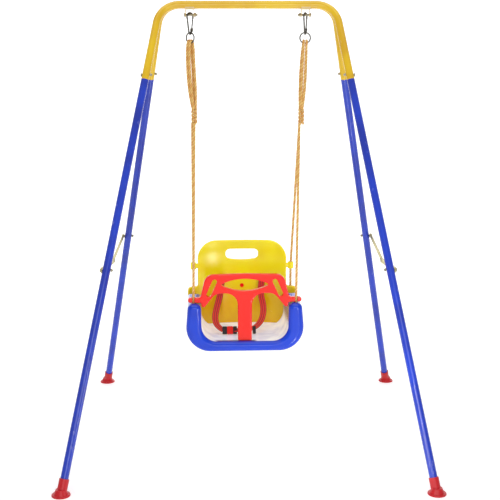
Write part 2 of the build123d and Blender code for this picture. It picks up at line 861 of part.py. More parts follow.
def corner_radius(before, corner, after):
    """Largest arc that the two runs at a corner allow."""
    first = corner - before
    second = after - corner
    half_turn = radians(first.get_angle(second)) / 2
    return 0.45 * min(first.length, second.length) / tan(half_turn)


def rope_tube(points, hook_radii=None):
    """Round rope along straight runs joined by arcs. Given radii are at hooks and edges."""
    hook_radii = hook_radii or {}
    radii = []
    for index in range(1, len(points) - 1):
        free = corner_radius(*points[index - 1 : index + 2])
        radii.append(hook_radii.get(index, free))
    with BuildPart() as rope:
        with BuildLine() as route:
            FilletPolyline(*points, radius=radii)
        with BuildSketch(Plane(origin=points[0], z_dir=points[1] - points[0])):
            Circle(rope_radius)
        sweep(path=route.line)
    section = pi * rope_radius**2
    length = route.wire().length
    share = rope.part.volume / (section * length)
    print("rope", round(length), "mm, radii", [round(r) for r in radii], round(share, 4))
    return rope


def rope_entry(side):
    """Top of the hole where a front rope goes into its arm."""
    return seat_point(SIDES[side] * rope_x, front_rope_y, arm_top)


def rope_foot(side, end):
    """Middle of the stopper knot at a rope's lower end."""
    if end == "front":
        return seat_point(SIDES[side] * rope_x, front_rope_y, pocket_knot_z)
    fillet_x = corner_middle_x()
    drop = (outer_corner + stopper_radius + ledge_knot_gap) ** 2 - (rope_x - fillet_x) ** 2
    low = seat_bottom + outer_corner - sqrt(drop)
    return seat_point(SIDES[side] * rope_x, rear_rope_y, low)


def corner_middle_x():
    """Centre of the round lower corner of the seat, across from its middle."""
    lean_x = (seat_half_width - arm_top_outer) / arm_height
    side_x = seat_half_width - lean_x * outer_corner
    return side_x - outer_corner * hypot(1, lean_x)


def rope_start(side, end):
    dx, dy = rope_exits[side, end]
    return knot_point(side, dx, dy, rope_sunk - knot_half_height)


def rope_rise(side):
    return (rope_start(side, "front") - rope_entry(side)).normalized()


def loop_points(side, end):
    """Up from the knot, over the ring's lower bar and back down to the knot."""
    ring_x = SIDES[side] * hanger_x
    turn = radians(ring_turn[side])
    along = Vector(cos(turn), sin(turn), 0)
    beside = Vector(-sin(turn), cos(turn), 0) * (ring_wire + rope_radius + hook_gap)
    offset = ENDS[end] * (rope_radius + 0.4)
    top = ring_z - sqrt(ring_radius**2 - offset**2) + beside.length
    over = Vector(ring_x, 0, top) + along * offset
    down, up = strands[side, end]
    points = []
    for place, height in reversed(list(zip(down, strand_heights))):
        points.append(Vector(ring_x + place[0], place[1], knot_z + height))
    points += [over - beside, over + beside]
    for place, height in zip(up, strand_heights):
        points.append(Vector(ring_x + place[0], place[1], knot_z + height))
    return points


for side in SIDES:
    for end in ENDS:
        over_ring = ring_wire + rope_radius
        loop = rope_tube(loop_points(side, end), {3: over_ring, 4: over_ring})
        write(loop, f"{side}_{end}_loop")
        turn_z = arm_top if end == "front" else eyelet_z
        turn_y = front_rope_y if end == "front" else rear_rope_y
        corner = seat_point(SIDES[side] * rope_x, turn_y, turn_z)
        rope = rope_tube([rope_start(side, end), corner, rope_foot(side, end)], {1: edge_radius})
        write(rope, f"{side}_{end}_rope")
    centre = knot_point(side)
    with BuildPart() as knot:
        with BuildSketch(Plane(origin=centre, x_dir=(1, 0, 0), z_dir=(0, -1, 0))):
            Ellipse(knot_half_width, knot_half_height)
            with Locations((-knot_half_width, 0)):
                Rectangle(2 * knot_half_width, 4 * knot_half_height, mode=Mode.SUBTRACT)
        revolve(axis=Axis(centre, (0, 0, 1)))
    write(knot, f"{side}_knot")

with BuildPart() as rope_stoppers:
    for side in SIDES:
        for end in ENDS:
            with Locations(rope_foot(side, end)):
                Sphere(stopper_radius)
write(rope_stoppers, "rope_stoppers")

# ------------------------------------------------------------------ guard
guard_foot = pan_top + guard_seat_gap
with BuildPart() as guard:
    with BuildSketch(seat_face.offset(guard_half_depth - guard_y)) as face:
        corners = [(x, arm_top + rise) for x, rise, _ in guard_corners]
        with BuildLine():
            half = Polyline(
                (0, guard_foot),
                (stem_foot, guard_foot),
                *corners,
                (0, arm_top + guard_crown),
            )
            mirror(half, about=Plane.YZ)
        make_face()
        round_corners(face, stem_foot_round, *both(stem_foot, guard_foot))
        for x, rise, radius in guard_corners:
            round_corners(face, radius, *both(x, arm_top + rise))
        left_point, right_point = both(lens_half_width, arm_top + lens_middle)
        with BuildLine():
            ThreePointArc(left_point, (0, arm_top + lens_top), right_point)
            ThreePointArc(right_point, (0, arm_top + lens_bottom), left_point)
        make_face(mode=Mode.SUBTRACT)
        round_corners(face, lens_round, left_point, right_point)
        for side in SIDES.values():
            spot = (side * guard_slot_x, arm_top + guard_slot_rise)
            with Locations(Location(spot, -side * guard_slot_turn)):
                SlotOverall(guard_slot_length, guard_slot_width, mode=Mode.SUBTRACT)
    extrude(amount=-2 * guard_half_depth)
    flats = guard.faces().filter_by(GeomType.PLANE).sort_by(SortBy.AREA)[-2:]
    holes = ShapeList(wire for flat in flats for wire in flat.inner_wires())
    fillet(holes.edges(), guard_hole_round)
    flats = guard.faces().filter_by(GeomType.PLANE).sort_by(SortBy.AREA)[-2:]
    rims = ShapeList(flat.outer_wire() for flat in flats)
    fillet(rims.edges(), guard_edge_round)
    with BuildSketch(seat.offset(guard_foot)):
        with Locations((0, guard_y)):
            Rectangle(2 * tab_half_width, 2 * tab_half_depth)
    extrude(amount=-tab_depth)
    for side in SIDES:
        rope_plane = Plane(origin=rope_entry(side), x_dir=seat.x_dir, z_dir=rope_rise(side))
        with BuildSketch(rope_plane):
            Circle(guard_hole_radius)
            with Locations((0, -guard_half_depth)):
                Rectangle(guard_mouth, 2 * guard_half_depth)
        extrude(amount=guard_hole_length, both=True, mode=Mode.SUBTRACT)
write(guard, "guard")

# ------------------------------------------------------------------ harness
def strap(places):
    """Flat webbing through places in the seat's own directions."""
    points = [seat_point(*place) for place in places]
    radii = [corner_radius(*points[i - 1 : i + 2]) for i in range(1, len(points) - 1)]
    with BuildPart() as band:
        with BuildLine() as route:
            FilletPolyline(*points, radius=radii)
        plane = Plane(origin=points[0], x_dir=seat.x_dir, z_dir=points[1] - points[0])
        with BuildSketch(plane):
            Rectangle(strap_width, strap_thickness)
        sweep(path=route.line)
    return band


bar_y = back_y(strap_slot_x) + back_thickness / 2 + anchor_bar_radius
left_route = [
    (-strap_slot_x, bar_y, strap_slot_z),
    (-strap_slot_x, 118, strap_slot_z - 2),
    (-86, 106, pan_top + 128),
    (-101, 70, pan_top + 84),
    (-112, 22, pan_top + 50),
    (-102, -22, pan_top + 26),
    (-78, buckle_y, buckle_z),
]
right_route = [
    (strap_slot_x, bar_y, strap_slot_z),
    (strap_slot_x, 118, strap_slot_z - 2),
    (72, 106, pan_top + 128),
    (84, 74, pan_top + 82),
    (76, 22, pan_top + 45),
    (48, -20, pan_top + 22),
    (12, -36, pan_top + 17),
    (-38, buckle_y, buckle_z),
]
write(strap(left_route), "left_strap")
write(strap(right_route), "right_strap")

buckle = Plane(
    origin=seat_point(0, buckle_y, buckle_z),
    x_dir=seat.x_dir,
    z_dir=-seat.y_dir * cos(radians(buckle_tilt)) + Vector(0, 0, sin(radians(buckle_tilt))),
)


def buckle_block(left, right, thickness):
    """Rounded block of the buckle, between two distances from the seat's middle."""
    with BuildSketch(buckle.offset(-thickness / 2)) as block:
        with Locations(((left + right) / 2, 0)):
            RectangleRounded(right - left, buckle_width, buckle_corner)
    extrude(block.sketch, amount=thickness)


with BuildPart() as buckle_tongue:
    buckle_block(tongue_start, tongue_end, tongue_thickness)
    with BuildSketch(buckle.offset(-prong_thickness / 2)):
        with Locations((tongue_end + prong_length / 2, 0)):
            Rectangle(prong_length, prong_width)
    extrude(amount=prong_thickness)
write(buckle_tongue, "buckle_tongue")

with BuildPart() as buckle_socket:
    buckle_block(tongue_end, socket_end, socket_thickness)
    with BuildSketch(buckle.offset(-prong_thickness / 2 - prong_slack)):
        with Locations((tongue_end + prong_length / 2, 0)):
            Rectangle(prong_length + 2 * prong_slack, prong_width + 2 * prong_slack)
    extrude(amount=prong_thickness + 2 * prong_slack, mode=Mode.SUBTRACT)
write(buckle_socket, "buckle_socket")

with BuildPart() as buckle_lock:
    buckle_block(socket_end, lock_end, tongue_thickness)
write(buckle_lock, "buckle_lock")

with BuildPart() as strap_adjuster:
    buckle_block(adjuster_start, adjuster_end, adjuster_thickness)
write(strap_adjuster, "strap_adjuster")

with BuildPart() as anchor_bars:
    for side in SIDES.values():
        bar = seat_point(side * strap_slot_x, bar_y, strap_slot_z)
        back_turn = asin(side * strap_slot_x / back_radius)
        along = seat.x_dir * cos(back_turn) - seat.y_dir * sin(back_turn)
        with BuildSketch(Plane(origin=bar, z_dir=along)):
            Circle(anchor_bar_radius)
        extrude(amount=anchor_bar_length / 2, both=True)
write(anchor_bars, "anchor_bars")

with BuildPart() as back_stud:
    stud_y = back_y(0) - back_thickness / 2
    with BuildSketch(seat_face.offset(-stud_y)):
        with Locations((0, stud_z)):
            Circle(stud_head_radius)
    extrude(amount=stud_head_height)
    fillet(back_stud.edges().sort_by(Axis.Y)[0], stud_head_height * 0.6)
    with BuildSketch(seat_face.offset(-stud_y)):
        with Locations((0, stud_z)):
            Circle(stud_radius)
    extrude(amount=-back_thickness)
write(back_stud, "back_stud")
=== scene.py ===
"""Looks of a folding toddler swing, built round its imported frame.

The metal frame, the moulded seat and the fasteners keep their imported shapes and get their
finishes here. The ropes, their knots, the stoppers and the webbing are modelled here.
"""

import json
import logging
import math
from dataclasses import dataclass
from enum import Enum
from typing import Any

import bpy
from mathutils import Matrix, Vector


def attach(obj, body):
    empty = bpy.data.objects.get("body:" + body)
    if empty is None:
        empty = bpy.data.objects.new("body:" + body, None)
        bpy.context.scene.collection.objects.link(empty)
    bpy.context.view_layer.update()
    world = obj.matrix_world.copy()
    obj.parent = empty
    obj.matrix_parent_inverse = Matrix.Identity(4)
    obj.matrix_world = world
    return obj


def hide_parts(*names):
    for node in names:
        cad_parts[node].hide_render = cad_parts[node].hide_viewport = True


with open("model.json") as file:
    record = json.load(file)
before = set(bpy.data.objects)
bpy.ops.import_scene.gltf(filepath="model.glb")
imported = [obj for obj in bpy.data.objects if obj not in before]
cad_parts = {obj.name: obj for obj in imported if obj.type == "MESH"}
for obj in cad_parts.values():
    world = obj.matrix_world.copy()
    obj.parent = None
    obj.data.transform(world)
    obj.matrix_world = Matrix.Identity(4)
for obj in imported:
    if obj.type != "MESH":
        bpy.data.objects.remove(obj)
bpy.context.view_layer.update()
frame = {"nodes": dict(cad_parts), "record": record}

log = logging.getLogger("swing")
MM = 0.001
SIDES = {"left": -1, "right": 1}
ENDS = {"front": -1, "rear": 1}
FULL_TURN = 2 * math.pi
ROPE_STRANDS = 3
BLACK = (0.0, 0.0, 0.0)
WHITE = (1.0, 1.0, 1.0)


def paint(red: int, green: int, blue: int) -> tuple[float, float, float]:
    """Turn a colour from a paint chart into linear light.

    Args:
        red: the chart's red, 0 to 255.
        green: its green.
        blue: its blue.

    Returns:
        The three shares of light, 0 to 1.
    """
    shares = [value / 255 for value in (red, green, blue)]
    linear = [s / 12.92 if s <= 0.04045 else ((s + 0.055) / 1.055) ** 2.4 for s in shares]
    return linear[0], linear[1], linear[2]


# ---------------------------------------------------------------- node trees
class Tree:
    """A node tree, with one method that makes any node in it."""

    def __init__(self, tree: bpy.types.NodeTree) -> None:
        """Keep the tree that the nodes go into."""
        self.tree = tree

    def node(self, kind: str, settings: dict[str, Any], feeds: dict[Any, Any]) -> bpy.types.Node:
        """Make one node.

        Args:
            kind: the node's type.
            settings: what is set on the node before its sockets.
            feeds: a value, a Wire or a socket for each input, by its name or number.

        Returns:
            The node.
        """
        made = self.tree.nodes.new(kind)
        for name, value in settings.items():
            setattr(made, name, value)
        for key, value in feeds.items():
            self.feed(made.inputs[key], value)
        return made

    def wire(self, kind: str, settings: dict[str, Any], feeds: dict[Any, Any],
             output: Any = 0) -> "Wire":
        """Make one node and return one of its outputs as a Wire."""
        return Wire(self, self.node(kind, settings, feeds).outputs[output])

    def feed(self, socket: bpy.types.NodeSocket, value: Any) -> None:
        """Give an input its value, or link it to an output.

        Args:
            socket: the input.
            value: a value, a Wire or an output socket.
        """
        if isinstance(value, Wire):
            self.tree.links.new(value.socket, socket)
        elif isinstance(value, bpy.types.NodeSocket):
            self.tree.links.new(value, socket)
        else:
            socket.default_value = value

    def mix(self, factor: Any, first: Any, second: Any) -> "Wire":
        """Mix two colours by a factor."""
        feeds = {0: factor, 6: colour(first), 7: colour(second)}
        return self.wire("ShaderNodeMix", {"data_type": "RGBA"}, feeds, 2)


class Wire:
    """An output socket that adds Math nodes when it is used in an expression."""

    def __init__(self, tree: Tree, socket: bpy.types.NodeSocket) -> None:
        """Keep the socket and the tree that it is in."""
        self.tree = tree
        self.socket = socket

    def maths(self, operation: str, *values: Any) -> "Wire":
        """Add one Math node that works on these values."""
        return self.tree.wire("ShaderNodeMath", {"operation": operation}, dict(enumerate(values)))

    def __add__(self, other: Any) -> "Wire":
        """Sum."""
        return self.maths("ADD", self, other)

    def __radd__(self, other: Any) -> "Wire":
        """Sum, with the number first."""
        return self.maths("ADD", other, self)

    def __sub__(self, other: Any) -> "Wire":
        """Difference."""
        return self.maths("SUBTRACT", self, other)

    def __rsub__(self, other: Any) -> "Wire":
        """Difference, with the number first."""
        return self.maths("SUBTRACT", other, self)

    def __mul__(self, other: Any) -> "Wire":
        """Product."""
        return self.maths("MULTIPLY", self, other)

    def __rmul__(self, other: Any) -> "Wire":
        """Product, with the number first."""
        return self.maths("MULTIPLY", other, self)

    def __truediv__(self, other: Any) -> "Wire":
        """Quotient."""
        return self.maths("DIVIDE", self, other)

    def wave(self) -> "Wire":
        """Cosine."""
        return self.maths("COSINE", self)

    def size(self) -> "Wire":
        """Absolute value."""
        return self.maths("ABSOLUTE", self)

    def at_most(self, limit: float) -> "Wire":
        """The value, or the limit where the value is over it."""
        return self.maths("MINIMUM", self, limit)

    def above(self, limit: float) -> "Wire":
        """One where the value is over the limit, and nothing elsewhere."""
        return self.maths("GREATER_THAN", self, limit)

    def rise(self, low: float, high: float) -> "Wire":
        """Climb smoothly from nothing to one.

        Args:
            low: the value where the climb starts; it may be the greater of the two.
            high: the value where it ends.

        Returns:
            The climb.
        """
        feeds = {0: self, 1: low, 2: high, 3: 0.0, 4: 1.0}
        settings = {"interpolation_type": "SMOOTHSTEP"}
        return self.tree.wire("ShaderNodeMapRange", settings, feeds)


def colour(value: Any) -> Any:
    """Give a plain colour its alpha, and leave a wire as it is."""
    return (*value, 1.0) if isinstance(value, tuple) and len(value) == 3 else value


class Surface(Tree):
    """A new material with one Principled shader, on Object coordinates."""

    def __init__(self, name: str) -> None:
        """Make the material and its shader.

        Args:
            name: the material's name.
        """
        self.material = bpy.data.materials.new(name)
        self.material.use_nodes = True
        self.material.node_tree.nodes.clear()
        super().__init__(self.material.node_tree)
        self.shader = self.node("ShaderNodeBsdfPrincipled", {}, {})
        output = self.node("ShaderNodeOutputMaterial", {}, {"Surface": self.shader.outputs[0]})
        output.is_active_output = True
        self.place = self.wire("ShaderNodeTexCoord", {}, {}, "Object")

    def set(self, **values: Any) -> None:
        """Feed the shader's inputs.

        Args:
            values: what goes into each input; an underscore stands for a space in its name.
        """
        for name, value in values.items():
            socket = self.shader.inputs[name.replace("_", " ")]
            self.feed(socket, colour(value) if socket.type == "RGBA" else value)

    def noise(self, scale: float, detail: float = 2.0, stretch: Any = None) -> Wire:
        """Noise from 0 to 1.

        Args:
            scale: how many lumps to a metre.
            detail: finer layers on top.
            stretch: a scale for each axis, where the lumps aren't round.

        Returns:
            The noise.
        """
        place = self.place
        if stretch is not None:
            feeds = {"Vector": place, "Scale": stretch}
            place = self.wire("ShaderNodeMapping", {}, feeds)
        feeds = {"Vector": place, "Scale": scale, "Detail": detail}
        return self.wire("ShaderNodeTexNoise", {}, feeds)

    def bump(self, height: Wire, strength: float, depth: float) -> None:
        """Raise the surface by a height, on top of any bump that it has.

        Args:
            height: the height, 0 to 1.
            strength: how much of it shows.
            depth: what a height of one stands for, in metres.
        """
        feeds = {"Height": height, "Strength": strength, "Distance": depth}
        normal = self.shader.inputs["Normal"]
        if normal.is_linked:
            feeds["Normal"] = normal.links[0].from_socket
        self.feed(normal, self.wire("ShaderNodeBump", {}, feeds))


# ---------------------------------------------------------------- finishes
@dataclass(frozen=True)
class PowderCoat:
    """Glossy powder coat on steel tube: orange peel, and a little uneven in shade."""

    name: str
    colour: tuple[float, float, float]
    shade: tuple[float, float, float]
    roughness: float = 0.2
    scuff_colour: tuple[float, float, float] = (0.75, 0.75, 0.72)
    scuff_share: float = 0.16

    def build(self) -> bpy.types.Material:
        """Make the material.

        Returns:
            The material.
        """
        surface = Surface(self.name)
        cloud = surface.noise(9.0, 3.0)
        speck = surface.noise(900.0, 1.0)
        scuff = surface.noise(70.0, 4.0, (1.0, 1.0, 0.12)).rise(0.66, 0.8)
        tint = surface.mix(cloud.rise(0.3, 0.75), self.colour, self.shade)
        surface.set(Base_Color=surface.mix(scuff * self.scuff_share, tint, self.scuff_colour))
        surface.set(Roughness=self.roughness + speck * 0.06 + scuff * 0.2)
        surface.set(Coat_Weight=0.5, Coat_Roughness=0.08)
        surface.bump(surface.noise(420.0, 1.0), 0.25, 0.0004)
        return surface.material


@dataclass(frozen=True)
class MouldedPlastic:
    """Moulded plastic: a faint pebble, slow hollows in its gloss and fine handling scratches."""

    name: str
    colour: tuple[float, float, float]
    shade: tuple[float, float, float]
    roughness: float = 0.24
    pebble: float = 0.12
    glow: float = 0.0

    def build(self) -> bpy.types.Material:
        """Make the material.

        Returns:
            The material.
        """
        surface = Surface(self.name)
        self.dress(surface, self.colour)
        return surface.material

    def dress(self, surface: Surface, base: Any) -> None:
        """Put the plastic on a surface.

        Args:
            surface: the surface.
            base: its main colour.
        """
        cloud = surface.noise(14.0, 2.0)
        scratch = surface.noise(240.0, 3.0, (0.07, 1.0, 0.5)).rise(0.62, 0.7)
        surface.set(Base_Color=surface.mix(cloud.rise(0.35, 0.8) * 0.5, base, self.shade))
        surface.set(Roughness=self.roughness + cloud * 0.05 + scratch * 0.08)
        surface.set(Subsurface_Weight=self.glow, Subsurface_Radius=(0.006, 0.004, 0.002))
        surface.bump(surface.noise(650.0, 2.0), self.pebble, 0.0003)
        surface.bump(surface.noise(11.0, 1.0), 0.12, 0.002)


@dataclass(frozen=True)
class BackPlastic(MouldedPlastic):
    """The backrest's plastic, which turns from lemon to amber towards its foot."""

    amber: tuple[float, float, float] = (0.86, 0.4, 0.0)
    amber_share: float = 0.8
    amber_below: float = 0.46
    lemon_above: float = 0.62

    def build(self) -> bpy.types.Material:
        """Make the material.

        Returns:
            The material.
        """
        surface = Surface(self.name)
        place = surface.node("ShaderNodeSeparateXYZ", {}, {0: surface.place})
        height = Wire(surface, place.outputs["Z"])
        fade = height.rise(self.lemon_above, self.amber_below)
        self.dress(surface, surface.mix(fade * self.amber_share, self.colour, self.amber))
        return surface.material


@dataclass(frozen=True)
class SeatPlastic(MouldedPlastic):
    """The seat's plastic, with a painted near-white reflection and a painted glow on the face of its
    floor, and a dark painted reflection of the buckle by the floor's front edge.
    """

    # Painted reflection and glow: the near-white colour painted over the seat's floor, and how
    # strongly it glows.
    painted_pan_reflection: tuple[float, float, float] = (0.86, 0.92, 0.98)
    painted_pan_glow: float = 0.3
    # Painted reflection of the buckle: a dark purple patch on the seat's floor.
    painted_buckle_reflection: tuple[float, float, float] = (0.05, 0.03, 0.22)
    pan_height: float = 0.402
    pan_rise: float = 0.09
    rise_start: float = 0.4
    pan_front: float = -0.137
    edge_fade: float = 0.008
    wall: float = 0.17
    wall_fade: float = 0.006
    # Where the painted buckle reflection lies: its depth behind the front edge, its shift across,
    # and the outer and inner edges of its fade.
    buckle_reflection_depth: float = 0.03
    buckle_reflection_shift: float = 0.034
    buckle_reflection_outer: float = 0.085
    buckle_reflection_inner: float = 0.065
    shift: float = -0.017
    turn: float = 0.042

    def build(self) -> bpy.types.Material:
        """Make the material.

        Returns:
            The material.
        """
        surface = Surface(self.name)
        place = surface.node("ShaderNodeSeparateXYZ", {}, {0: surface.place})
        depth = Wire(surface, place.outputs["Y"])
        height = Wire(surface, place.outputs["Z"])
        across = Wire(surface, place.outputs["X"])
        back = depth - across * self.turn
        right = across + depth * self.turn
        inside = (right - self.shift).size().rise(self.wall + self.wall_fade, self.wall)
        level = (height - self.pan_height).rise(self.pan_rise, self.pan_rise * self.rise_start)
        edge = self.pan_front + self.edge_fade
        behind = back.rise(self.pan_front, edge)
        # Painted reflection of the buckle: a dark patch just behind the front edge, beside the
        # middle.
        near = back.rise(self.pan_front + self.buckle_reflection_depth, edge)
        beside = (right - self.shift + self.buckle_reflection_shift).size()
        buckle_reflection_mask = near * beside.rise(self.buckle_reflection_outer, self.buckle_reflection_inner)
        painted_reflections = surface.mix(buckle_reflection_mask, self.painted_pan_reflection, self.painted_buckle_reflection)
        # The painted reflection and glow cover everything within the walls, behind the front edge
        # and no higher than a little above the floor, the seat's underside included.
        painted_pan_mask = level * behind * inside
        self.dress(surface, surface.mix(painted_pan_mask, self.colour, painted_reflections))
        # Painted glow: the near-white part glows, except where the painted buckle reflection lies.
        painted_glow_mask = painted_pan_mask * (1.0 - buckle_reflection_mask)
        surface.set(Emission_Color=surface.mix(painted_glow_mask, BLACK, self.painted_pan_reflection))
        surface.set(Emission_Strength=self.painted_pan_glow)
        return surface.material


@dataclass(frozen=True)
class PlatedSteel:
    """Plated steel: fine drawn lines, and cloudy patches in its shine."""

    name: str
    colour: tuple[float, float, float]
    patch: tuple[float, float, float]
    roughness: float = 0.3
    lines: tuple[float, float, float] = (1.0, 1.0, 0.06)

    def build(self) -> bpy.types.Material:
        """Make the material.

        Returns:
            The material.
        """
        surface = Surface(self.name)
        cloud = surface.noise(120.0, 3.0)
        line = surface.noise(1500.0, 1.0, self.lines)
        surface.set(Base_Color=surface.mix(cloud.rise(0.4, 0.7), self.colour, self.patch))
        surface.set(Roughness=self.roughness + cloud * 0.15 + line * 0.08, Metallic=1.0)
        surface.bump(line, 0.2, 0.0001)
        return surface.material


@dataclass(frozen=True)
class RopeFibre:
    """Laid rope: three strands of fine filaments, one of them a darker orange, with painted shade
    darkening the grooves between the strands.

    It reads the attributes that the rope's geometry carries: around, a share of a turn, and
    along, in metres.
    """

    name: str
    colour: tuple[float, float, float]
    # Painted shade for the grooves between the strands, also the colour of random darker fuzz.
    dark_fuzz_and_groove_shade: tuple[float, float, float]
    tracer: tuple[float, float, float]
    strands: int = ROPE_STRANDS
    hairs_around: float = 210.0
    hairs_along: float = 2600.0
    tracer_share: float = 0.7

    def read(self, surface: Surface, name: str) -> Wire:
        """An attribute of the rope's geometry."""
        settings = {"attribute_type": "GEOMETRY", "attribute_name": name}
        return surface.wire("ShaderNodeAttribute", settings, {}, "Fac")

    def build(self) -> bpy.types.Material:
        """Make the material.

        Returns:
            The material.
        """
        surface = Surface(self.name)
        around = self.read(surface, "around")
        along = self.read(surface, "along")
        crown = (around * (self.strands * math.pi)).wave().size()
        comb = around * self.hairs_around + along * self.hairs_along
        hair = (comb + surface.noise(300.0) * 6.0).wave()
        fuzz = surface.noise(1400.0, 2.0)
        marked = (around - 0.5).size().above(0.5 - 0.5 / self.strands)
        strand = surface.mix(marked * self.tracer_share, self.colour, self.tracer)
        # Painted shade: the grooves between the strands are coloured darker.
        tint = surface.mix(crown.rise(0.0, 0.65), self.dark_fuzz_and_groove_shade, strand)
        surface.set(Base_Color=surface.mix(fuzz.rise(0.45, 0.75) * 0.25, tint, self.dark_fuzz_and_groove_shade))
        surface.set(Roughness=0.55 + fuzz * 0.25)
        surface.set(Sheen_Weight=0.35, Sheen_Roughness=0.4)
        surface.bump(hair, 0.35, 0.0002)
        surface.bump(fuzz, 0.3, 0.0003)
        return surface.material


@dataclass(frozen=True)
class WovenWebbing:
    """Flat nylon webbing: a herringbone face, dark selvedges and two woven-in lines.

    It reads the webbing's own map: u across from 0 to 1, and v along in widths.
    """

    name: str
    colour: tuple[float, float, float]
    edge: tuple[float, float, float]
    line_at: float = 0.16
    twill_across: float = 90.0
    twill_along: float = 75.0
    ribs: float = 150.0

    def build(self) -> bpy.types.Material:
        """Make the material.

        Returns:
            The material.
        """
        surface = Surface(self.name)
        grid = surface.node("ShaderNodeUVMap", {"uv_map": "weave"}, {})
        place = surface.node("ShaderNodeSeparateXYZ", {}, {0: grid.outputs[0]})
        across = Wire(surface, place.outputs["X"])
        along = Wire(surface, place.outputs["Y"])
        middle = (across - 0.5).size()
        selvedge = middle.rise(0.4, 0.47)
        line = 1.0 - (middle - self.line_at).size().rise(0.03, 0.07)
        twill = (middle * self.twill_across + along * self.twill_along).wave()
        rib = (across * self.ribs).wave()
        dark = (selvedge + line + (twill * 0.5 + 0.5) * 0.15).at_most(1.0)
        surface.set(Base_Color=surface.mix(dark, self.colour, self.edge))
        surface.set(Roughness=0.5 + twill * 0.08)
        surface.set(Sheen_Weight=0.25, Sheen_Roughness=0.4)
        surface.bump(twill * 0.6 + rib * 0.4, 0.5, 0.0003)
        return surface.material


# ---------------------------------------------------------------- geometry node trees
class GeometryRecipe(Tree):
    """A Geometry Nodes tree with named inputs, run once on a host mesh."""

    def __init__(self, name: str, inputs: dict[str, tuple[str, Any]]) -> None:
        """Make the tree and its group input and output.

        Args:
            name: the tree's name.
            inputs: for each named input, its socket type and its value.
        """
        self.group = bpy.data.node_groups.new(name, "GeometryNodeTree")
        super().__init__(self.group)
        face = self.group.interface
        face.new_socket("Geometry", in_out="INPUT", socket_type="NodeSocketGeometry")
        face.new_socket("Geometry", in_out="OUTPUT", socket_type="NodeSocketGeometry")
        self.values: dict[str, Any] = {}
        for key, (kind, value) in inputs.items():
            made = face.new_socket(key, in_out="INPUT", socket_type=kind)
            self.values[made.identifier] = value
        self.entry = self.node("NodeGroupInput", {}, {})

    def given(self, name: str) -> Wire:
        """The named input, inside the tree."""
        return Wire(self, self.entry.outputs[name])

    def step(self, kind: str, feeds: dict[Any, Any], output: Any = 0, **settings: Any) -> Wire:
        """Add one geometry node and return one of its outputs."""
        return self.wire(kind, settings, feeds, output)

    def end(self, geometry: Wire, material: Wire) -> None:
        """Make instances real, set the material and close the tree.

        Args:
            geometry: what the tree has made.
            material: its finish.
        """
        real = self.step("GeometryNodeRealizeInstances", {0: geometry})
        smooth = self.step("GeometryNodeSetShadeSmooth", {0: real})
        coated = self.step("GeometryNodeSetMaterial", {0: smooth, "Material": material})
        self.node("NodeGroupOutput", {}, {0: coated})

    def run(self, host: bpy.types.Object, name: str) -> bpy.types.Object:
        """Run the tree on a host and keep its result as a plain mesh.

        Args:
            host: the object whose mesh goes in; it is removed.
            name: the new piece's name.

        Returns:
            The new piece, at the origin.
        """
        modifier = host.modifiers.new("recipe", "NODES")
        modifier.node_group = self.group
        for identifier, value in self.values.items():
            modifier[identifier] = value
        bpy.context.view_layer.update()
        ready = host.evaluated_get(bpy.context.evaluated_depsgraph_get())
        mesh = bpy.data.meshes.new_from_object(ready)
        bpy.data.objects.remove(host)
        mesh.name = name
        return place(name, mesh)


def place(name: str, data: Any) -> bpy.types.Object:
    """Make an object at the origin and show it.

    Args:
        name: the object's name.
        data: its mesh, curve, light or camera.

    Returns:
        The object.
    """
    made = bpy.data.objects.new(name, data)
    bpy.context.scene.collection.objects.link(made)
    return made


def mesh_of(name: str, points: list, edges: list, faces: list) -> bpy.types.Mesh:
    """Make a mesh.

    Args:
        name: the mesh's name.
        points: its corners, in metres.
        edges: pairs of corners, for a mesh without faces.
        faces: the corners round each face.

    Returns:
        The mesh.
    """
    mesh = bpy.data.meshes.new(name)
    mesh.from_pydata([tuple(point) for point in points], edges, faces)
    mesh.update()
    return mesh


def chain(name: str, points: list[Vector]) -> bpy.types.Object:
    """Make a host mesh whose edges join points in a row."""
    links = [(i, i + 1) for i in range(len(points) - 1)]
    return place(name, mesh_of(name, points, links, []))


def smooth_line(name: str, points: list[Vector]) -> list[Vector]:
    """Read back the smooth line of a NURBS spline.

    Args:
        name: the spline's name.
        points: its control points.

    Returns:
        Points along the line, from the first control point to the last.
    """
    curve = bpy.data.curves.new(name, "CURVE")
    curve.dimensions = "3D"
    curve.resolution_u = 16
    spline = curve.splines.new("NURBS")
    spline.points.add(len(points) - 1)
    for control, point in zip(spline.points, points):
        control.co = (*point, 1.0)
    spline.order_u = 3
    spline.use_endpoint_u = True
    holder = place(name, curve)
    bpy.context.view_layer.update()
    mesh = bpy.data.meshes.new_from_object(holder)
    line = [vertex.co.copy() for vertex in mesh.vertices]
    bpy.data.objects.remove(holder)
    bpy.data.curves.remove(curve)
    bpy.data.meshes.remove(mesh)
    return line


def line_length(line: list[Vector]) -> float:
    """Length of a line through points."""
    return sum((b - a).length for a, b in zip(line, line[1:]))


GROOVE_DEPTH = 0.16
RING_CORNERS = 30


